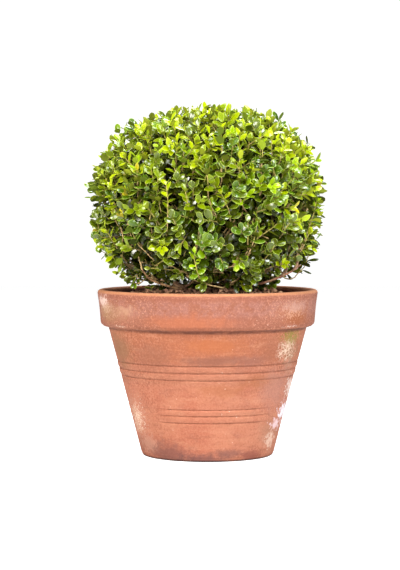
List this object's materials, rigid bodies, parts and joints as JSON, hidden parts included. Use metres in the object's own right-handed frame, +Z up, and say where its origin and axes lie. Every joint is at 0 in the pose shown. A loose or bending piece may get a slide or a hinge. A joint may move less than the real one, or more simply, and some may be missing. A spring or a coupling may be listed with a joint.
{
  "type": "box topiary ball in a terracotta pot",
  "caption": "Clipped ball of small-leaved evergreen box on low boughs, growing in an old round terracotta pot with a deep rim and turned grooves; stands on a patio or by a door.",
  "frame": {"origin": "middle of the pot's flat underside, on the ground", "axes": "+Z up; -Y towards the viewer of the picture, +X to the viewer's right"},
  "size_m": [0.3478, 0.3474, 0.5199],
  "materials": {
    "terracotta": "unglazed, weathered, with lime bloom and a little algae",
    "compost": "moist potting compost with dry leaf litter",
    "bark": "thin grey-brown bark, finely cracked",
    "leaf": "leathery, glossy above and paler beneath"
  },
  "bodies": {
    "root": {"terracotta_pot": "terracotta", "potting_compost": "compost", "main_stem": "bark", "bough_left": "bark", "bough_right": "bark", "bough_front": "bark", "bough_back_right": "bark", "bough_back": "bark", "bough_back_left": "bark", "foliage_ball": "leaf"}
  },
  "joints": []
}
